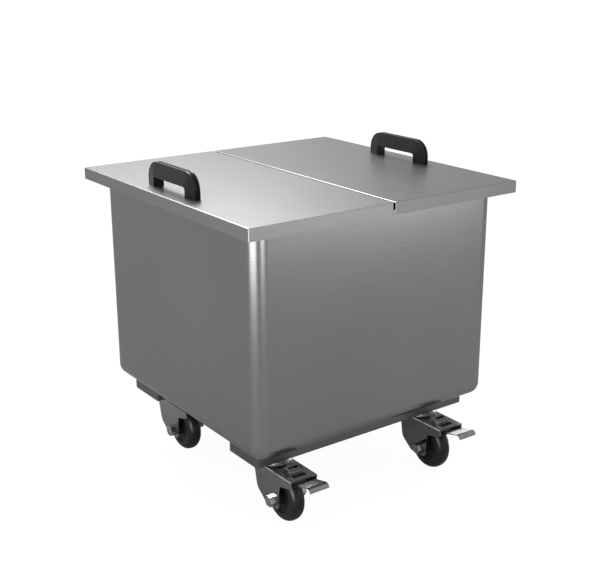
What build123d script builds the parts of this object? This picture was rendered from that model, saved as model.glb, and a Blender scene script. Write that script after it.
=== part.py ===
from build123d import *
import os
from math import cos, pi, radians, sin, tan

# A wheeled flour cart: a square sheet-metal tub on two cross rails and four swivel casters,
# closed by two loose lid halves with a bridge handle each. The floor is z = 0, the cart is
# centred on x = 0 and y = 0, and the side with the two brake pedals faces -Y.
# All sizes are in millimetres.

# Clearances
running = 0.05
seat_gap = 0.3
bolt_clearance = 0.5
edge_break = 0.8

# Tub
tub_length = 578.0
tub_width = 573.0
tub_height = 462.2
tub_sheet = 1.5
tub_corner_radius = 28.0
tub_floor_radius = 26.0
rim_width = 26.0
rim_drop = 14.0
rim_corner_radius = 9.0
rim_bend = 2.5

# Lid halves
lid_sheet = 1.5
lid_skirt = 24.0
lid_play = 3.5
lid_split = 4.6
lid_edge_radius = 2.0
split_skirt_gap = 3.0

# Bridge handles
handle_inset = 38.0
handle_length = 178.0
handle_height = 49.5
handle_band = 29.5
handle_thickness = 22.4
handle_rim = 12.4
handle_corner_radius = 34.0
handle_hole_radius = 5.0
handle_flat = 1.5
handle_groove_width = 4.0
handle_groove_depth = 2.2
handle_screw_radius = 2.5
handle_screw_depth = 14.0
screw_head_radius = 5.0
screw_head_height = 3.0
screw_head_bevel = 1.0
screw_inboard = 2.0

# Rails
rail_height = 30.0
rail_width = 98.0
rail_sheet = 2.0
rail_setback = 42.5
rail_bend = 2.5
caster_from_rail_end = 72.6

# Caster wheel
wheel_radius = 50.0
wheel_width = 32.0
tread_round = 14.0
hub_radius = 31.0
hub_rim = 7.0
hub_rim_width = 28.0
hub_web = 26.0
hub_boss_radius = 13.0
hub_end_play = 1.5
sleeve_wall = 2.0
axle_radius = 6.0
axle_head_flats = 20.5
axle_head_height = 16.5
axle_nut_wall = 4.0
trail = 39.0

# Caster fork
fork_width = 64.0
tongue_width = 52.0
fork_sheet = 2.5
fork_bend = 2.0
fork_rear = 25.3
fork_front = 99.0
tyre_to_crown = 10.0
seat_above_axle = 14.0
tongue_front = 14.0
tongue_round = 11.5
foot_below_axle = 19.5
foot_behind_axle = 32.3
foot_round = 10.0
knee_above_axle = 4.5
knee_radius = 24.0
beak_root = 59.4
beak_root_drop = 26.0
beak_tip_drop = 17.0
beak_round = 7.0
crown_radius = 28.5
crown_rise = 6.0
crown_round = 2.0

# Swivel bearing
kingpin_radius = 6.0
kingpin_head_radius = 13.0
kingpin_head_height = 6.0
kingpin_rivet_radius = 8.5
kingpin_rivet_height = 1.5
ball_radius = 4.0
ball_circle = 21.0
ball_count = 8
groove_depth = 1.0
race_radius = 36.0
race_wall = 2.0
race_height = 4.4
race_skirt = 8.6
race_round = 1.5
race_bead = 1.2

# Mounting plate and its fasteners
plate_length = 100.0
plate_width = 80.0
plate_thickness = 3.0
plate_corner = 6.0
bolt_pitch_x = 80.0
bolt_pitch_y = 60.0
bolt_radius = 4.0
bolt_head_radius = 7.0
bolt_head_height = 3.4
bolt_head_bevel = 1.2
nut_flats = 13.0
nut_height = 6.5
bolt_past_nut = 1.5

# Brake of the two front casters
pivot_from_axis = 56.0
pivot_below_crown = 7.0
brake_pin_radius = 2.5
pedal_sheet = 2.0
pedal_width = 44.0
pedal_heel = 6.0
pedal_gap = 3.0
pedal_length = 150.0
pedal_slope = 14.0
pedal_bend = 30.0
pedal_rise = 9.6
toe_radius = 8.0
toe_turn = 94.0
ear_radius = 5.2
brake_stroke = 12.0
shoe_width = 20.0
shoe_length = 20.0
shoe_behind_pivot = 6.0
shoe_height = 19.0
shoe_gap = 0.4

# Hump and window in the crown of the two front forks
hump_width = 28.0
hump_rear = 46.0
hump_peak_rear = 56.0
hump_peak_front = 61.0
hump_front = 75.0
hump_rise = 10.5
hump_lip = 3.8
hump_round = 1.0
slot_width = 22.0
slot_depth = 4.6
window_from_hump = 3.0
window_length = 30.0
window_depth = 10.5

# Heights, stacked up from the floor
axle_z = wheel_radius
crown_under = axle_z + wheel_radius + tyre_to_crown
crown_top = crown_under + fork_sheet
cup_top = crown_top + crown_rise
ball_z = cup_top - groove_depth + running + ball_radius
race_under = ball_z + ball_radius + running - groove_depth
plate_under = race_under + race_height
rail_under = plate_under + plate_thickness
tub_under = rail_under + rail_height
rim_top = tub_under + tub_height
lid_under = rim_top + seat_gap
lid_top = lid_under + lid_sheet

# Half sizes in plan
tub_x, tub_y = tub_length / 2, tub_width / 2
rim_x, rim_y = tub_x + rim_width, tub_y + rim_width
lid_x, lid_y = rim_x + lid_play + lid_sheet, rim_y + lid_play + lid_sheet
rail_x = tub_x - tub_floor_radius
rail_y = tub_y - rail_setback - rail_width / 2
caster_x = rail_x - caster_from_rail_end
handle_x = lid_x - handle_inset
fork_half = fork_width / 2
tongue_half = tongue_width / 2
tongue_inner = tongue_half - fork_sheet
pivot_y = -pivot_from_axis
pivot_z = crown_under - pivot_below_crown
axle_y = -trail
seat_z = axle_z + seat_above_axle


def block(x0, x1, y0, y1, z0, z1):
    """A box between two corners."""
    return Pos((x0 + x1) / 2, (y0 + y1) / 2, (z0 + z1) / 2) * Box(x1 - x0, y1 - y0, z1 - z0)


def drum(radius, z0, z1, x=0.0, y=0.0):
    """An upright cylinder."""
    return Pos(x, y, (z0 + z1) / 2) * Cylinder(radius, z1 - z0)


def cross_bar(radius, x0, x1, y, z):
    """A cylinder along X."""
    return Pos((x0 + x1) / 2, y, z) * Rot(0, 90, 0) * Cylinder(radius, x1 - x0)


def slab(half_x, half_y, corner, z0, z1):
    """An upright slab with rounded corners in plan."""
    return Pos(0, 0, z0) * extrude(RectangleRounded(2 * half_x, 2 * half_y, corner), z1 - z0)


def side_plate(outline, half_width):
    """A face drawn in the YZ plane, given thickness both ways along X."""
    return extrude(Plane.YZ * outline, half_width, both=True)


def hex_bar(flats, x0, x1, y, z):
    """A hexagonal bar along X with a flat on top, softened at the outer end."""
    outline = Rot(0, 0, 30) * RegularPolygon(flats / 2, 6, major_radius=False)
    bar = extrude(outline, abs(x1 - x0))
    bar = chamfer(bar.faces().sort_by(Axis.Z)[-1].edges(), edge_break)
    lean = 90 if x1 > x0 else -90
    return Pos(x0, y, z) * Rot(0, lean, 0) * bar


def around_x(shape, angle, y, z):
    """A shape turned about a line along X."""
    return Pos(0, y, z) * Rot(angle, 0, 0) * Pos(0, -y, -z) * shape


def make_tub():
    """The deep tub with its rounded corners and floor, an outward rim and the rim's return."""
    shell = slab(tub_x, tub_y, tub_corner_radius, tub_under, rim_top)
    shell = fillet(shell.faces().sort_by(Axis.Z)[0].edges(), tub_floor_radius)
    rim = slab(rim_x, rim_y, rim_corner_radius, rim_top - rim_drop, rim_top)
    rim = fillet(rim.faces().sort_by(Axis.Z)[-1].edges(), rim_bend)
    inner_x, inner_y = rim_x - tub_sheet, rim_y - tub_sheet
    under_rim = slab(inner_x, inner_y, rim_corner_radius - tub_sheet, 0, rim_top - tub_sheet)
    hollow = slab(
        tub_x - tub_sheet, tub_y - tub_sheet, tub_corner_radius - tub_sheet,
        tub_under + tub_sheet, rim_top + 1,
    )
    hollow = fillet(hollow.faces().sort_by(Axis.Z)[0].edges(), tub_floor_radius - tub_sheet)
    return (rim - under_rim + shell) - hollow


def caster_spots():
    """The four swivel axes by name, the two front ones first."""
    return {
        "front_left": (-caster_x, -rail_y),
        "front_right": (caster_x, -rail_y),
        "rear_left": (-caster_x, rail_y),
        "rear_right": (caster_x, rail_y),
    }


def bolt_spots():
    """The plate bolts' places about a swivel axis."""
    half_x, half_y = bolt_pitch_x / 2, bolt_pitch_y / 2
    return [(x, y) for x in (-half_x, half_x) for y in (-half_y, half_y)]


def make_rail():
    """A tray folded from sheet, open upwards, with closed ends and holes for the plate bolts."""
    half = rail_width / 2
    rail = block(-rail_x, rail_x, -half, half, rail_under, tub_under)
    rail = fillet(rail.edges().filter_by(Axis.Z), rail_bend)
    rail = fillet(rail.faces().sort_by(Axis.Z)[0].edges(), rail_bend)
    inner_x, inner_y = rail_x - rail_sheet, half - rail_sheet
    rail -= block(-inner_x, inner_x, -inner_y, inner_y, rail_under + rail_sheet, tub_under + 1)
    for side in (-caster_x, caster_x):
        for x, y in bolt_spots():
            rail -= drum(bolt_radius + bolt_clearance, rail_under - 1, tub_under, side + x, y)
    return rail


def make_lid():
    """The left lid half: a pan with its skirts turned down, notched where it crosses the rim."""
    inner_edge = -lid_split / 2
    low = lid_top - lid_skirt
    lid = block(-lid_x, inner_edge, -lid_y, lid_y, low, lid_top)
    lid = fillet(lid.edges().filter_by(Axis.Z), lid_edge_radius)
    lid = fillet(lid.faces().sort_by(Axis.Z)[-1].edges(), lid_edge_radius)
    in_x, in_y = lid_x - lid_sheet, lid_y - lid_sheet
    lid -= block(-in_x, inner_edge - lid_sheet, -in_y, in_y, low - 1, lid_under)
    skirt_end = tub_y - tub_sheet - split_skirt_gap
    for y0, y1 in ((-in_y, -skirt_end), (skirt_end, in_y)):
        lid -= block(inner_edge - 2 * lid_sheet, 1, y0, y1, low - 1, lid_under)
    for y in handle_feet():
        hole = handle_screw_radius + bolt_clearance / 2
        lid -= drum(hole, low, lid_top + 1, -handle_x + screw_inboard, y)
    return lid


def handle_feet():
    """The two places along Y where a handle stands on its lid."""
    foot = (handle_length - handle_band) / 2
    return (-foot, foot)


def arch(half_length, height, corner):
    """An upright arch outline that stands on the lid."""
    outline = Pos(0, (height - corner) / 2) * Rectangle(2 * half_length, height + corner)
    top = outline.vertices().group_by(Axis.Y)[-1]
    outline = fillet(top, corner)
    return outline - Pos(0, -height) * Rectangle(4 * half_length, 2 * height)


def make_handle():
    """The left handle: an arch whose cheeks slope in to a narrow grooved rim."""
    half = handle_length / 2
    outer = arch(half, handle_height, handle_corner_radius)
    grip = arch(half - handle_band, handle_height - handle_band, handle_hole_radius)
    body = side_plate(outer, handle_thickness / 2)
    slope = (handle_thickness - handle_rim) / 2
    for side in (-1, 1):
        face = body.faces().sort_by(Axis.X)[0 if side < 0 else -1]
        rim = [edge for edge in face.outer_wire().edges() if edge.center().Z > 0.01]
        body = chamfer(rim, handle_band - handle_flat, slope, reference=face)
    body -= side_plate(grip, handle_thickness)
    inset = arch(half - handle_groove_depth, handle_height - handle_groove_depth,
                 handle_corner_radius - handle_groove_depth)
    around = side_plate(outer, handle_groove_width / 2) - side_plate(inset, handle_groove_width)
    body = Pos(-handle_x, 0, lid_top) * (body - around)
    for y in handle_feet():
        hole = handle_screw_radius + running
        top = lid_top + handle_screw_depth + 1
        body -= drum(hole, lid_top - 1, top, -handle_x + screw_inboard, y)
    return body


def make_handle_screws():
    """Two pan-head screws that hold the left handle from under its lid."""
    screws = []
    for y in handle_feet():
        x = -handle_x + screw_inboard
        head = drum(screw_head_radius, lid_under - screw_head_height, lid_under, x, y)
        head = chamfer(head.faces().sort_by(Axis.Z)[0].edges(), screw_head_bevel)
        screws.append(head + drum(handle_screw_radius, lid_under - 0.1, lid_top + handle_screw_depth, x, y))
    return screws


def make_plate():
    """The caster's mounting plate with four bolt holes and a seat for the riveted kingpin."""
    plate = slab(plate_length / 2, plate_width / 2, plate_corner, plate_under, rail_under)
    for x, y in bolt_spots():
        plate -= drum(bolt_radius + bolt_clearance, plate_under - 1, rail_under + 1, x, y)
    plate -= drum(kingpin_radius + running, plate_under - 1, rail_under + 1)
    return plate - drum(kingpin_rivet_radius + running, rail_under - kingpin_rivet_height, rail_under + 1)


def ball_track():
    """The ring-shaped space that both grooves of the swivel bearing share."""
    return Pos(0, 0, ball_z) * Torus(ball_circle, ball_radius + running)


def make_race():
    """The upper race under the plate, with a beaded skirt that keeps flour out of the balls."""
    low = race_under - race_skirt
    race = drum(race_radius, low, plate_under)
    race = fillet(race.edges().group_by(Axis.Z)[-1], race_round)
    race += Pos(0, 0, low + race_bead + running) * Torus(race_radius, race_bead)
    race -= drum(race_radius - race_wall, 0, race_under)
    race -= drum(kingpin_radius + running, race_under - 1, plate_under + 1)
    return race - ball_track()


def make_balls():
    """The ring of bearing balls between the race and the fork's crown."""
    turn = 2 * pi / ball_count
    spots = [(ball_circle * cos(i * turn), ball_circle * sin(i * turn)) for i in range(ball_count)]
    return [Pos(x, y, ball_z) * Sphere(ball_radius) for x, y in spots]


def make_kingpin():
    """The pin the fork turns on, riveted flush in the plate and headed under the crown."""
    head_top = cup_top - fork_sheet - seat_gap
    pin = drum(kingpin_radius, head_top - 1, rail_under)
    pin += drum(kingpin_rivet_radius, rail_under - kingpin_rivet_height, rail_under)
    head = drum(kingpin_head_radius, head_top - kingpin_head_height, head_top)
    return pin + chamfer(head.edges(), edge_break)


def cheek_outline():
    """The fork's side view: an upright rear, a sloping knee, a foot round the axle and a beak."""
    front, foot = axle_y - tongue_front, axle_z - foot_below_axle
    knee = (fork_rear, axle_z + knee_above_axle)
    heel = (axle_y + foot_behind_axle, foot)
    toe = (front, foot)
    body = Polyline(
        (fork_rear, crown_top),
        knee,
        heel,
        toe,
        (front, seat_z),
        (-beak_root, crown_top - beak_root_drop),
        (-fork_front + beak_round, crown_top - beak_tip_drop),
        (-fork_front, crown_top - beak_tip_drop + beak_round / 2),
        (-fork_front, crown_top),
        close=True,
    )
    outline = make_face(body)
    for corner, radius in ((knee, knee_radius), (heel, foot_round), (toe, tongue_round)):
        outline = fillet(outline.vertices().sort_by_distance((*corner, 0))[0], radius)
    return outline


def cheek_half(z):
    """The fork's outer half width at a height: upright at the axle, spreading to the crown."""
    spread = (fork_half - tongue_half) / (crown_top - seat_z)
    return tongue_half + max(0.0, z - seat_z) * spread


def front_prism(top, inset):
    """A prism along Y with the fork's front view, its sides moved in by an inset."""
    low, high = tongue_half - inset, cheek_half(top) - inset
    outline = Polyline(
        (-low, 0), (-low, seat_z), (-high, top), (high, top), (low, seat_z), (low, 0), close=True
    )
    return extrude(Plane.XZ * make_face(outline), 2 * fork_front, both=True)


def make_fork(braked):
    """The pressed fork: two cheeks, a top plate and a raised cup that carries the balls."""
    fork = side_plate(cheek_outline(), fork_half) & front_prism(crown_top, 0)
    bends = [
        edge for edge in fork.edges().filter_by(Axis.Y)
        if edge.center().Z > crown_top - 0.1
    ]
    fork = fillet(bends, fork_bend)
    fork -= front_prism(crown_under, fork_sheet)
    cup = drum(crown_radius, crown_under, cup_top)
    cup = fillet(cup.edges().group_by(Axis.Z)[-1], crown_round)
    fork += cup
    fork -= drum(crown_radius - fork_sheet, crown_under - edge_break, cup_top - fork_sheet)
    fork -= drum(kingpin_radius + running, crown_under, cup_top + 1)
    fork -= ball_track()
    fork -= cross_bar(axle_radius + running, -fork_width, fork_width, axle_y, axle_z)
    if braked:
        fork = add_brake_openings(fork)
    return fork


def hump_outline(low):
    """The hump's side view above the crown, carried down to a given height."""
    peak = crown_top + hump_rise
    return make_face(Polyline(
        (-hump_rear, low),
        (-hump_rear, crown_top),
        (-hump_peak_rear, peak),
        (-hump_peak_front, peak),
        (-hump_front, crown_top + hump_lip),
        (-hump_front, low),
        close=True,
    ))


def add_brake_openings(fork):
    """The hollow hump pressed over the pedal's heel, its slot, the window and the pin's holes."""
    half = hump_width / 2
    peak = crown_top + hump_rise
    hump = side_plate(hump_outline(crown_under), half)
    raised = [edge for edge in hump.edges() if edge.center().Z > crown_top + edge_break / 2]
    hump = fillet(raised, hump_round)
    hollow = offset(hump_outline(crown_under - 2 * fork_sheet), -fork_sheet, kind=Kind.INTERSECTION)
    hollow = side_plate(hollow, half - fork_sheet)
    slot_rear = -hump_peak_front - hump_round
    slot = block(-slot_width / 2, slot_width / 2, slot_rear - slot_depth, slot_rear, crown_top, peak)
    edge = -hump_front - window_from_hump
    window = block(
        -window_length / 2, window_length / 2, edge - window_depth, edge, crown_under - 1, peak
    )
    holes = cross_bar(brake_pin_radius + running, -fork_width, fork_width, pivot_y, pivot_z)
    return fork + hump - hollow - slot - window - holes


def make_axle_bolt():
    """The axle bolt, its tall hexagon head on the +X side."""
    shank_end = -tongue_half - axle_head_height + axle_nut_wall
    shank = cross_bar(axle_radius, shank_end, tongue_half + 0.1, axle_y, axle_z)
    head_end = tongue_half + axle_head_height
    return shank + hex_bar(axle_head_flats, tongue_half, head_end, axle_y, axle_z)


def make_axle_nut():
    """The closed hexagon nut on the -X side of the fork."""
    nut_end = -tongue_half - axle_head_height
    nut = hex_bar(axle_head_flats, -tongue_half, nut_end, axle_y, axle_z)
    blind = nut_end + axle_nut_wall - running
    return nut - cross_bar(axle_radius + running, blind, 0, axle_y, axle_z)


def make_sleeve():
    """The spacer sleeve on the axle that the wheel's hub turns on."""
    sleeve = cross_bar(axle_radius + sleeve_wall, -tongue_inner, tongue_inner, axle_y, axle_z)
    return sleeve - cross_bar(axle_radius + running, -fork_width, fork_width, axle_y, axle_z)


def make_hub():
    """The wheel's hub: a long boss, a web and a rim for the tyre."""
    boss_half = tongue_inner - hub_end_play
    hub = cross_bar(hub_radius, -hub_rim_width / 2, hub_rim_width / 2, axle_y, axle_z)
    hub -= cross_bar(hub_radius - hub_rim, -hub_rim_width, hub_rim_width, axle_y, axle_z)
    hub += cross_bar(hub_radius - 1, -hub_web / 2, hub_web / 2, axle_y, axle_z)
    hub += cross_bar(hub_boss_radius, -boss_half, boss_half, axle_y, axle_z)
    bore = axle_radius + sleeve_wall + running
    return hub - cross_bar(bore, -fork_width, fork_width, axle_y, axle_z)


def make_tyre():
    """The solid tyre with its strongly rounded tread."""
    tyre = cross_bar(wheel_radius, -wheel_width / 2, wheel_width / 2, axle_y, axle_z)
    tyre = fillet(tyre.edges().filter_by(GeomType.CIRCLE), tread_round)
    return tyre - cross_bar(hub_radius, -wheel_width, wheel_width, axle_y, axle_z)


def pedal_line():
    """The pedal's middle line in side view: flat heel, gentle rise, rolled toe."""
    lean = radians(pedal_slope)
    web_z = crown_under - pedal_gap - pedal_sheet / 2
    roll_y = -pedal_length + pedal_sheet / 2 + toe_radius
    roll_z = web_z + pedal_rise - toe_radius
    top = (roll_y + toe_radius * sin(lean), roll_z + toe_radius * cos(lean))
    low_z = web_z + pedal_bend * (1 - cos(lean))
    low_y = top[0] + (top[1] - low_z) / tan(lean)
    heel = Line((pivot_y + pedal_heel, web_z), (low_y + pedal_bend * sin(lean), web_z))
    bend = JernArc(heel @ 1, heel % 1, pedal_bend, -pedal_slope)
    rise = Line(bend @ 1, top)
    toe = JernArc(rise @ 1, rise % 1, toe_radius, toe_turn)
    return Wire([heel, bend, rise, toe])


def make_pedal():
    """The brake pedal: a sheet with a rolled toe and two ears on the pin."""
    web_z = crown_under - pedal_gap - pedal_sheet / 2
    band = offset(pedal_line(), pedal_sheet / 2, kind=Kind.ARC, side=Side.BOTH)
    outer, inner = pedal_width / 2, pedal_width / 2 - pedal_sheet
    pedal = side_plate(make_face(band.edges()), outer)
    ear = Pos(pivot_y, pivot_z) * Circle(ear_radius)
    ear += Pos(pivot_y, (pivot_z + web_z) / 2) * Rectangle(2 * ear_radius, web_z - pivot_z)
    pedal += side_plate(ear, outer) - side_plate(ear, inner)
    return pedal - cross_bar(brake_pin_radius + running, -fork_width, fork_width, pivot_y, pivot_z)


def make_brake_pin():
    """The pedal's hinge pin, flush with the fork's cheeks."""
    end = cheek_half(pivot_z - brake_pin_radius)
    return cross_bar(brake_pin_radius, -end, end, pivot_y, pivot_z)


def make_shoe():
    """The shoe under the pedal, hollowed to the tyre as it lies when the pedal is down."""
    top = crown_under - pedal_gap - pedal_sheet
    rear = pivot_y - shoe_behind_pivot
    half = shoe_width / 2
    shoe = block(-half, half, rear - shoe_length, rear, top - shoe_height, top)
    pressed = around_x(shoe, brake_stroke, pivot_y, pivot_z)
    pressed -= cross_bar(wheel_radius + shoe_gap, -fork_width, fork_width, axle_y, axle_z)
    return around_x(pressed, -brake_stroke, pivot_y, pivot_z)


def make_plate_bolts():
    """All the low-headed bolts that hold the casters' plates to the rails."""
    bolts = []
    for spot_x, spot_y in caster_spots().values():
        for x, y in bolt_spots():
            head = drum(bolt_head_radius, plate_under - bolt_head_height, plate_under)
            head = chamfer(head.faces().sort_by(Axis.Z)[0].edges(), bolt_head_bevel)
            end = rail_under + rail_sheet + nut_height + bolt_past_nut
            shank = drum(bolt_radius, plate_under - 0.1, end)
            bolts.append(Pos(spot_x + x, spot_y + y, 0) * (head + shank))
    return bolts


def make_plate_nuts():
    """The hexagon nuts of those bolts, inside the rails."""
    nuts = []
    floor = rail_under + rail_sheet
    for spot_x, spot_y in caster_spots().values():
        for x, y in bolt_spots():
            nut = extrude(RegularPolygon(nut_flats / 2, 6, major_radius=False), nut_height)
            nut = Pos(0, 0, floor) * nut - drum(bolt_radius + running, floor - 1, floor + 2 * nut_height)
            nuts.append(Pos(spot_x + x, spot_y + y, 0) * nut)
    return nuts


def save(name, shape):
    """Write one node, a single solid or a group of separate ones."""
    solids = shape if isinstance(shape, list) else [shape]
    export_step(Compound(children=[Solid(s.solids()[0].wrapped) for s in solids]), f"parts/{name}.step")


def mirrored(shape):
    """The same piece on the right-hand side of the cart."""
    if isinstance(shape, list):
        return [mirror(s, Plane.YZ) for s in shape]
    return mirror(shape, Plane.YZ)


def place(shape, x, y):
    """A caster's piece moved to its swivel axis."""
    if isinstance(shape, list):
        return [Pos(x, y, 0) * s for s in shape]
    return Pos(x, y, 0) * shape


def main():
    os.makedirs("parts", exist_ok=True)
    save("tub", make_tub())
    rail = make_rail()
    save("front_rail", Pos(0, -rail_y, 0) * rail)
    save("rear_rail", Pos(0, rail_y, 0) * rail)
    halves = {"lid": make_lid(), "handle": make_handle(), "handle_screws": make_handle_screws()}
    for name, shape in halves.items():
        save(f"{name}_left", shape)
        save(f"{name}_right", mirrored(shape))
    save("caster_bolts", make_plate_bolts())
    save("caster_nuts", make_plate_nuts())
    every = {
        "mounting_plate": make_plate(),
        "swivel_race": make_race(),
        "swivel_balls": make_balls(),
        "kingpin": make_kingpin(),
        "axle_bolt": make_axle_bolt(),
        "axle_nut": make_axle_nut(),
        "axle_sleeve": make_sleeve(),
        "wheel_hub": make_hub(),
        "tyre": make_tyre(),
    }
    brake = {"brake_pedal": make_pedal(), "brake_pin": make_brake_pin(), "brake_shoe": make_shoe()}
    forks = {True: make_fork(True), False: make_fork(False)}
    for spot, (x, y) in caster_spots().items():
        braked = spot.startswith("front")
        pieces = {**every, "fork": forks[braked], **(brake if braked else {})}
        for name, shape in pieces.items():
            save(f"{name}_{spot}", place(shape, x, y))
    print("lid", 2 * lid_x, "x", 2 * lid_y, "top", lid_top)
    print("rail underside", rail_under, "tub underside", tub_under)


main()
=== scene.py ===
# %% [markdown]
# # A flour cart in sheet steel
# The cart is a square tub that bakers fill with flour. It rolls on four swivel casters, and two
# loose lid halves with bridge handles cover it. The solid model is already made, in metres, with
# +Z up and the floor at zero. This lesson gives that model its finishes, its light and its camera.
# We start by loading the solid model.

from math import radians

import bmesh
import bpy
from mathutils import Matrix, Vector


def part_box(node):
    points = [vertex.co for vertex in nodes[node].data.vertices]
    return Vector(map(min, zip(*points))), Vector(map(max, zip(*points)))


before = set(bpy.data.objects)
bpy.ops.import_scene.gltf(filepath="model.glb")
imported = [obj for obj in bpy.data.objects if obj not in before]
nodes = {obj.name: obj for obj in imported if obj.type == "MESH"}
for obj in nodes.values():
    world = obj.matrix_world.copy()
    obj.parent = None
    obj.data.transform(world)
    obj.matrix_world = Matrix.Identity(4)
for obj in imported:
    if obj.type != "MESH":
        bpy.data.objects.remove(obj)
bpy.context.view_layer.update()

# %% [markdown]
# ## The camera
# A product photographer stands a little above the lid and turns the cart so that two sides show.
# We could aim the camera at a point, but its place and its two angles as plain numbers are easier
# to correct one at a time. A long lens, about 64 mm, keeps the tub's upright edges nearly parallel.
# The small sideways shift only frames the picture.

# %% Place the camera
camera_place = (-1.2534, -1.7611, 1.0773)
camera_turn = -36.35
camera_tilt = 17.86
lens_length = 64.0
film_width = 36.0
sideways_shift = -0.0183

scene = bpy.context.scene
camera_data = bpy.data.cameras.new("camera")
camera_data.lens = lens_length
camera_data.sensor_width = film_width
camera_data.shift_x = sideways_shift
camera = bpy.data.objects.new("camera", camera_data)
camera.location = camera_place
camera.rotation_euler = (radians(90 - camera_tilt), 0, radians(camera_turn))
scene.collection.objects.link(camera)
scene.camera = camera
print("camera", round(camera.location.length, 2), "m from the middle of the floor")

# %% [markdown]
# ## Asking which ray looks
# The world and the floor both show one shade to the camera and another to the rest of the light.
# Blender's Light Path node says what kind of ray is looking, as a number that is 0 or 1. Two small
# helpers serve both: one is 1 where either of two such numbers is, and one mixes two shaders into
# the output.


# %% Helpers for rays
def either(tree, first, second):
    larger = tree.nodes.new("ShaderNodeMath")
    larger.operation = "MAXIMUM"
    tree.links.new(first, larger.inputs[0])
    tree.links.new(second, larger.inputs[1])
    return larger.outputs[0]


def mix_to_output(tree, share, first, second, output_kind):
    mixed = tree.nodes.new("ShaderNodeMixShader")
    output = tree.nodes.new(output_kind)
    for value, socket in zip((share, first, second), mixed.inputs):
        tree.links.new(value, socket)
    tree.links.new(mixed.outputs[0], output.inputs[0])


print("helpers for rays ready")

# %% [markdown]
# ## The surroundings
# Polished steel shows the room more than it shows itself, so the room comes before the metal.
# The picture's background is plain white. We could light a white wall until it burns out, but then
# the cart would burn out too. Instead the world is white only to the camera, to mirror-like
# reflections and, should a clear piece be added, to rays that pass through it. Everything else gets
# a calmer grey light.

# %% World light
room_grey = 0.75
wall_white = 1.0

scene.view_settings.view_transform = "Standard"
world = bpy.data.worlds.new("studio")
scene.world = world
world.use_nodes = True
tree = world.node_tree
tree.nodes.clear()
rays = tree.nodes.new("ShaderNodeLightPath").outputs
seen = either(tree, rays["Is Camera Ray"], rays["Is Glossy Ray"])
seen = either(tree, seen, rays["Is Transmission Ray"])
soft_light = tree.nodes.new("ShaderNodeBackground")
soft_light.inputs["Color"].default_value = (room_grey, room_grey, room_grey, 1)
white_wall = tree.nodes.new("ShaderNodeBackground")
white_wall.inputs["Color"].default_value = (wall_white, wall_white, wall_white, 1)
mix_to_output(tree, seen, soft_light.outputs[0], white_wall.outputs[0], "ShaderNodeOutputWorld")
print("world: white to the camera,", room_grey, "grey as light")

# %% [markdown]
# ## The floor
# The cart stands on one large sheet at height zero. A smaller sheet with a curved backdrop would
# show its edge in the steel, so the sheet simply reaches beyond what the camera sees. It belongs to
# the stage and not to the cart.

# %% Floor
floor_half = 40.0

grid = bmesh.new()
bmesh.ops.create_grid(grid, x_segments=1, y_segments=1, size=floor_half)
floor_mesh = bpy.data.meshes.new("floor")
grid.to_mesh(floor_mesh)
grid.free()
floor = bpy.data.objects.new("floor", floor_mesh)
scene.collection.objects.link(floor)
print("floor", 2 * floor_half, "m square")

# %% [markdown]
# ## The floor's white
# The floor must look white and still carry the cart's shadow, so it mixes plain white light with a
# matt surface that takes the shadow. The camera sees mostly the white. The steel sees more of the
# matt surface, so the shaded floor beside the cart darkens the lower part of the tub, as in a real
# studio.

# %% Floor finish
floor_white = 1.1
matt_white = 0.9
camera_share = 0.86
mirror_share = 0.05

floor_material = bpy.data.materials.new("white floor")
floor_material.use_nodes = True
tree = floor_material.node_tree
tree.nodes.clear()
rays = tree.nodes.new("ShaderNodeLightPath").outputs
mirror_part = tree.nodes.new("ShaderNodeMath")
mirror_part.operation = "MULTIPLY"
mirror_part.inputs[1].default_value = mirror_share
reflected = either(tree, rays["Is Glossy Ray"], rays["Is Transmission Ray"])
tree.links.new(reflected, mirror_part.inputs[0])
share = tree.nodes.new("ShaderNodeMath")
share.operation = "MULTIPLY_ADD"
share.inputs[1].default_value = camera_share
tree.links.new(rays["Is Camera Ray"], share.inputs[0])
tree.links.new(mirror_part.outputs[0], share.inputs[2])
matt = tree.nodes.new("ShaderNodeBsdfDiffuse")
matt.inputs["Color"].default_value = (matt_white, matt_white, matt_white, 1)
glow = tree.nodes.new("ShaderNodeEmission")
glow.inputs["Strength"].default_value = floor_white
mix_to_output(tree, share.outputs[0], matt.outputs[0], glow.outputs[0], "ShaderNodeOutputMaterial")
floor_mesh.materials.append(floor_material)
print("floor shows", camera_share, "white to the camera and", mirror_share, "to the steel")

# %% [markdown]
# ## Which lamp lights which piece
# A photographer of bright metal places white boards with care, and shades them from all but one
# face. In Blender a lamp can name the pieces that it lights, through a collection. So we sort the
# nodes into groups first, by the start of their names, and an empty start takes them all. One more
# group holds only the floor: a lamp that names it as its blocker shines past the pieces in its way,
# as a board held close to a face would.

# %% Groups of pieces
tub_low, tub_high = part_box("tub")
tub_middle = (tub_low + tub_high) / 2


def lit_group(name, starts):
    group = bpy.data.collections.new(name)
    for key, node in nodes.items():
        if key.startswith(starts):
            group.objects.link(node)
    return group


whole_cart = lit_group("whole cart", "")
sheet_metal = lit_group("sheet metal", ("tub", "lid", "front_rail", "rear_rail"))
tub_and_rails = lit_group("tub and rails", ("tub", "front_rail", "rear_rail"))
lids = lit_group("lids", ("lid", "handle"))
forks = lit_group("forks", ("fork", "brake"))
pedals = lit_group("pedals", "brake_pedal")
races = lit_group("races", "swivel_race")
near_axle = lit_group("near axle", ("axle_nut_front_left", "axle_bolt_front_left"))
tyres = lit_group("tyres", "tyre")
right_pedal = lit_group("right pedal", "brake_pedal_front_right")
only_floor = bpy.data.collections.new("only the floor blocks this light")
only_floor.objects.link(floor)

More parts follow.
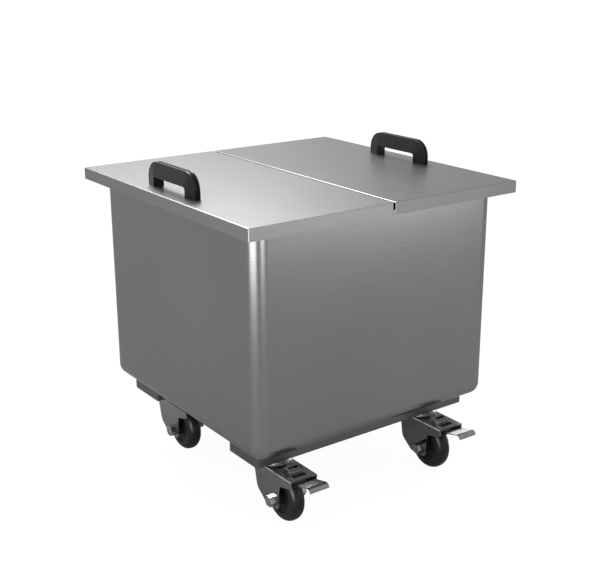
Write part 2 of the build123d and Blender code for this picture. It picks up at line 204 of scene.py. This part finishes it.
# %% [markdown]
# ## One kind of lamp
# Every lamp here is an area lamp, which is a lit rectangle. A point lamp would show in the steel as
# a hard spot, while a rectangle shows as the soft sheen of a studio's soft box. It is hidden from
# the camera's own rays. A soft box is an area lamp that faces the middle of the tub.


# %% Helpers for lamps
def area_lamp(name, size, watts, lights):
    lamp = bpy.data.lights.new(name, "AREA")
    lamp.shape = "RECTANGLE"
    lamp.size, lamp.size_y = size
    lamp.energy = watts
    holder = bpy.data.objects.new(name, lamp)
    holder.visible_camera = False
    scene.collection.objects.link(holder)
    holder.light_linking.receiver_collection = lights
    print(name, watts, "W")
    return holder


def soft_box(name, place, size, watts, lights):
    holder = area_lamp(name, size, watts, lights)
    holder.location = place
    holder.rotation_euler = (tub_middle - Vector(place)).to_track_quat("-Z", "Y").to_euler()
    return holder


# %% [markdown]
# ## Soft boxes and standing boards
# One large soft box behind the cart lights all of it, and a second one lays the sheen on the lids.
# The board on the left makes the white strip on the tub's near corner, the one in front makes the
# thin strip beside it, and the far one lifts the front's right end. The lids' skirts get a weaker
# board of their own in the same place. One strong lamp behind could do as much for this view, but
# the lids would then be plain white when they are seen from above.

# %% Soft boxes
far_place = (1.2, -2.0, 0.4)
far_size = (1.0, 0.5)

soft_box("back box", place=(-0.3, 1.35, 2.3), size=(2.4, 1.1), watts=60, lights=whole_cart)
soft_box("lid box", place=(0.1, 1.4, 2.0), size=(2.0, 0.8), watts=41, lights=lids)
soft_box("left board", place=(-1.55, -0.48, 0.38), size=(1.25, 0.45), watts=11, lights=sheet_metal)
soft_box("front board", place=(-0.42, -1.6, 0.42), size=(0.66, 0.4), watts=4.4, lights=sheet_metal)
soft_box("far board", far_place, far_size, watts=5.8, lights=tub_and_rails)
soft_box("skirt board", far_place, far_size, watts=3.5, lights=lids)

# %% [markdown]
# ## Boards for the small pieces
# A low board behind the cart whitens the right pedal, and a narrow one on the left draws the streak
# on the tyres. The bearing races hang over the forks, which would shade them, so their board lies
# on the floor and only the floor may block it.

# %% Boards for pedal, tyres and races
floor_gap = 0.004

soft_box("pedal board", place=(0.9, 0.64, 0.15), size=(0.6, 0.4), watts=1.1, lights=right_pedal)
soft_box("tyre board", place=(-1.12, -0.74, 0.36), size=(0.22, 0.55), watts=14, lights=tyres)
race_board = soft_box("race board", place=(0, 0, floor_gap), size=(1.6, 1.6), watts=36, lights=races)
race_board.light_linking.blocker_collection = only_floor

# %% [markdown]
# ## A lamp in the tub's mouth
# With a lid half lifted off, we look into the tub. Its dark walls only mirror each other, so the
# inside would be black. A lamp just below the lids shines down on the tub's floor. The walls keep
# it in, so that the outside hardly changes.

# %% Mouth lamp
mouth_drop = 0.02
mouth_place = (0, 0, tub_high.z - mouth_drop)

soft_box("mouth lamp", mouth_place, size=(0.48, 0.48), watts=14, lights=tub_and_rails)

# %% [markdown]
# ## Small cards over the front casters
# The crown of each fork lies so low that it mirrors the underside of the tub and would look black.
# Small cards just under the caster plates stand in for the light that strays there. One lights the
# crown, one the edge beside it, and one the pedal. Their corners are measured from the middle of
# the plate, so that they follow the casters if the cart changes.

# %% Cards over the front casters
plate_gap = 0.001


def white_card(name, low, high, height, watts, lights):
    size = (high[0] - low[0], high[1] - low[1])
    card = area_lamp(name, size, watts, lights)
    card.location = ((low[0] + high[0]) / 2, (low[1] + high[1]) / 2, height)
    card.light_linking.blocker_collection = only_floor


def caster_card(kind, side, low, high, watts, lights):
    plate_low, plate_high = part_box(f"mounting_plate_front_{side}")
    x = (plate_low.x + plate_high.x) / 2
    y = (plate_low.y + plate_high.y) / 2
    card_low = (x + low[0], y + low[1])
    card_high = (x + high[0], y + high[1])
    white_card(f"{kind} {side}", card_low, card_high, plate_low.z - plate_gap, watts, lights)


for side in ("left", "right"):
    caster_card("crown card", side, low=(-0.03, -0.085), high=(0.08, 0.05), watts=0.013, lights=forks)
    caster_card("edge card", side, low=(-0.08, -0.1), high=(-0.036, 0.04), watts=0.06, lights=forks)
    caster_card("window card", side, low=(-0.01, -0.07), high=(0.05, -0.03), watts=0.02, lights=pedals)

# %% [markdown]
# ## A card for the near axle
# The hexagon nut on the nearest axle has one facet that turns up and catches the light as a small
# white patch. The fork's cheek stands between that facet and everything it mirrors, so it gets a
# card of its own under the tub, which shines past the fork.

# %% Card for the near axle
tub_gap = 0.002
axle_card_low = (-0.2, -0.16)
axle_card_high = (0.06, 0.12)
axle_card_height = tub_low.z - tub_gap

white_card("axle card", axle_card_low, axle_card_high, axle_card_height, watts=25, lights=near_axle)

# %% [markdown]
# ## How a finish starts
# Every finish here starts from one Principled shader. A photograph of the metal could be wrapped
# round the cart instead, but it would need a map of each surface, and small procedural patterns
# don't. All greys are a little cool, as steel and carbon black are. The edge number says how much
# a metal mirrors at a grazing angle: clean metal has 1, and the brushed sheets get less.


# %% Start a finish
def grey(value):
    cool = 1.01
    return (value, value, value * cool)


def start_finish(name, shade, metal, rough, edge=1.0):
    material = bpy.data.materials.new(name)
    material.use_nodes = True
    shader = material.node_tree.nodes["Principled BSDF"]
    shader.inputs["Base Color"].default_value = (*grey(shade), 1)
    shader.inputs["Metallic"].default_value = metal
    shader.inputs["Roughness"].default_value = rough
    shader.inputs["Specular Tint"].default_value = (edge, edge, edge, 1)
    return material, shader


print("a grey of 0.2 is written as", grey(0.2))

# %% [markdown]
# ## Noise that stays on the metal
# The patterns are noise in Object coordinates, which are metres in the cart's own frame, so that
# they stay on the metal in every view and pose. The stretch numbers say how often the noise
# changes in a metre along each axis. Noise stays mostly between 0.3 and 0.7, so a second helper
# spreads that range to the numbers that a finish needs.

# %% Noise and its range
noise_low = 0.3
noise_high = 0.7


def noise(material, stretch, detail):
    tree = material.node_tree
    where = tree.nodes.new("ShaderNodeTexCoord")
    mapping = tree.nodes.new("ShaderNodeMapping")
    mapping.inputs["Scale"].default_value = stretch
    pattern = tree.nodes.new("ShaderNodeTexNoise")
    pattern.inputs["Scale"].default_value = 1.0
    pattern.inputs["Detail"].default_value = detail
    tree.links.new(where.outputs["Object"], mapping.inputs["Vector"])
    tree.links.new(mapping.outputs[0], pattern.inputs["Vector"])
    return pattern.outputs["Fac"]


def spread(material, value, low, high):
    tree = material.node_tree
    ranged = tree.nodes.new("ShaderNodeMapRange")
    ranged.inputs["From Min"].default_value = noise_low
    ranged.inputs["From Max"].default_value = noise_high
    ranged.inputs["To Min"].default_value = low
    ranged.inputs["To Max"].default_value = high
    tree.links.new(value, ranged.inputs["Value"])
    return ranged.outputs["Result"]


print("noise from", noise_low, "to", noise_high, "is spread")

# %% [markdown]
# ## What the noise changes
# Real metal and plastic are never even. Three helpers let a pattern change the colour, the
# roughness or the height. The height is a bump and not real relief, because these marks are only
# a small part of a millimetre deep.


# %% Colour, roughness and height
def vary_colour(material, shader, value, shade, darker, lighter):
    tree = material.node_tree
    mixed = tree.nodes.new("ShaderNodeMix")
    mixed.data_type = "RGBA"
    mixed.inputs["A"].default_value = (*grey(shade * darker), 1)
    mixed.inputs["B"].default_value = (*grey(shade * lighter), 1)
    tree.links.new(spread(material, value, 0.0, 1.0), mixed.inputs["Factor"])
    tree.links.new(mixed.outputs["Result"], shader.inputs["Base Color"])


def vary_roughness(material, shader, value, low, high):
    material.node_tree.links.new(spread(material, value, low, high), shader.inputs["Roughness"])


def emboss(material, shader, value, depth, strength):
    tree = material.node_tree
    bump = tree.nodes.new("ShaderNodeBump")
    bump.inputs["Distance"].default_value = depth
    bump.inputs["Strength"].default_value = strength
    tree.links.new(value, bump.inputs["Height"])
    tree.links.new(bump.outputs[0], shader.inputs["Normal"])


print("patterns can change colour, roughness and height")

# %% [markdown]
# ## Brushed sheet
# The tub, the lids and the rails are stainless sheet with a fine satin brushing. Brushing leaves
# hair lines along one direction and a soft, wide reflection. A noise that is squeezed across the
# lines and stretched along them gives the lines. They change the roughness and, very little, the
# height. A second, cloudy noise changes the colour and keeps a large sheet from looking computed.


# %% Brushed sheet
def brushed_sheet(name, shade, rough, lines, edge):
    cloud_scale = (3, 3, 3)
    rough_change = 0.035
    scratch_depth = 0.00001
    scratch_strength = 0.05
    material, shader = start_finish(name, shade, metal=1.0, rough=rough, edge=edge)
    hair = noise(material, lines, detail=3.0)
    cloud = noise(material, cloud_scale, detail=3.0)
    vary_colour(material, shader, cloud, shade, darker=0.96, lighter=1.04)
    vary_roughness(material, shader, hair, rough - rough_change, rough + rough_change)
    emboss(material, shader, hair, scratch_depth, scratch_strength)
    return material


across = 2400.0
along = 8.0
round_the_tub = (along, along, across)
front_to_back = (across, along, along)

tub_finish = brushed_sheet("brushed tub sheet", 0.22, 0.26, round_the_tub, edge=0.8)
# Both lid halves are the same sheet. The left half's lighter shade is painted sheen and the right
# half's darker shade is painted shade: they copy the brighter light that the left half catches.
lid_left_sheen_finish = brushed_sheet("brushed left lid sheet", 0.27, 0.34, front_to_back, edge=0.6)
lid_right_shade_finish = brushed_sheet("brushed right lid sheet", 0.215, 0.35, front_to_back, edge=0.6)
rail_finish = brushed_sheet("brushed rail sheet", 0.125, 0.30, round_the_tub, edge=0.8)
print("four brushed sheets, with about", across, "lines in a metre")

# %% [markdown]
# ## Caster metal
# The forks, plates and pedals are pressed from thicker steel and polished. Pressing leaves the
# surface slightly wavy, so a large, weak noise bends the reflections a little, and a fine noise
# changes the roughness. The bolts and the bearing balls are brighter steel, finished the same way.


# %% Caster metal
def pressed_steel(name, shade, rough):
    wave_scale = (60, 60, 60)
    fine_scale = (900, 900, 900)
    smoother = 0.04
    duller = 0.05
    wave_depth = 0.0002
    wave_strength = 0.2
    material, shader = start_finish(name, shade, metal=1.0, rough=rough)
    wave = noise(material, wave_scale, detail=1.0)
    fine = noise(material, fine_scale, detail=2.0)
    vary_roughness(material, shader, fine, rough - smoother, rough + duller)
    vary_colour(material, shader, wave, shade, darker=0.93, lighter=1.05)
    emboss(material, shader, wave, wave_depth, wave_strength)
    return material


fork_finish = pressed_steel("polished fork steel", shade=0.2, rough=0.22)
pedal_finish = pressed_steel("polished pedal steel", shade=0.2, rough=0.2)
plate_finish = pressed_steel("plate steel", shade=0.2, rough=0.28)
bolt_finish = pressed_steel("bright bolt steel", shade=0.3, rough=0.2)
ball_finish = pressed_steel("bearing steel", shade=0.45, rough=0.08)
print("five caster metals")

# %% [markdown]
# ## Plastic and rubber
# The handles are moulded in dark plastic with a satin skin. The wheels are black, with a smooth
# tread that has a soft sheen, and a duller moulded hub. A very fine grain stands for the skin of
# the mould, and clouds of colour and roughness for the way such parts are handled.


# %% Plastic and rubber
def moulding(name, shade, rough, grain_depth, gloss):
    grain_scale = (2500, 2500, 2500)
    cloud_scale = (25, 25, 25)
    rough_change = 0.04
    grain_strength = 0.5
    material, shader = start_finish(name, shade, metal=0.0, rough=rough)
    shader.inputs["Specular IOR Level"].default_value = gloss
    grain = noise(material, grain_scale, detail=2.0)
    cloud = noise(material, cloud_scale, detail=2.0)
    vary_colour(material, shader, cloud, shade, darker=0.85, lighter=1.15)
    vary_roughness(material, shader, cloud, rough - rough_change, rough + rough_change)
    emboss(material, shader, grain, grain_depth, grain_strength)
    return material


handle_finish = moulding("satin handle plastic", 0.008, 0.32, grain_depth=0.00003, gloss=0.22)
tyre_finish = moulding("smooth tyre rubber", 0.004, 0.4, grain_depth=0.00002, gloss=0.3)
hub_finish = moulding("moulded hub", 0.008, 0.55, grain_depth=0.00004, gloss=0.3)
shoe_finish = moulding("brake shoe rubber", 0.008, 0.7, grain_depth=0.00006, gloss=0.3)
print("four plastics and rubbers")

# %% [markdown]
# ## Dressing the nodes
# Each piece of the solid model already has its own mesh. We only swap its material, by the start
# of its name, because the four casters repeat the same pieces. The first start that fits counts,
# so the handle screws come before the handles.

# %% Dress the nodes
finishes = {
    "tub": tub_finish,
    "front_rail": rail_finish,
    "rear_rail": rail_finish,
    "lid_left": lid_left_sheen_finish,
    "lid_right": lid_right_shade_finish,
    "handle_screws": bolt_finish,
    "handle": handle_finish,
    "caster_bolts": bolt_finish,
    "caster_nuts": bolt_finish,
    "mounting_plate": plate_finish,
    "swivel_race": plate_finish,
    "swivel_balls": ball_finish,
    "kingpin": plate_finish,
    "fork": fork_finish,
    "axle": bolt_finish,
    "wheel_hub": hub_finish,
    "tyre": tyre_finish,
    "brake_pedal": pedal_finish,
    "brake_pin": bolt_finish,
    "brake_shoe": shoe_finish,
}
for name, node in nodes.items():
    start = next(key for key in finishes if name.startswith(key))
    node.data.materials.clear()
    node.data.materials.append(finishes[start])
print("dressed", len(nodes), "nodes")
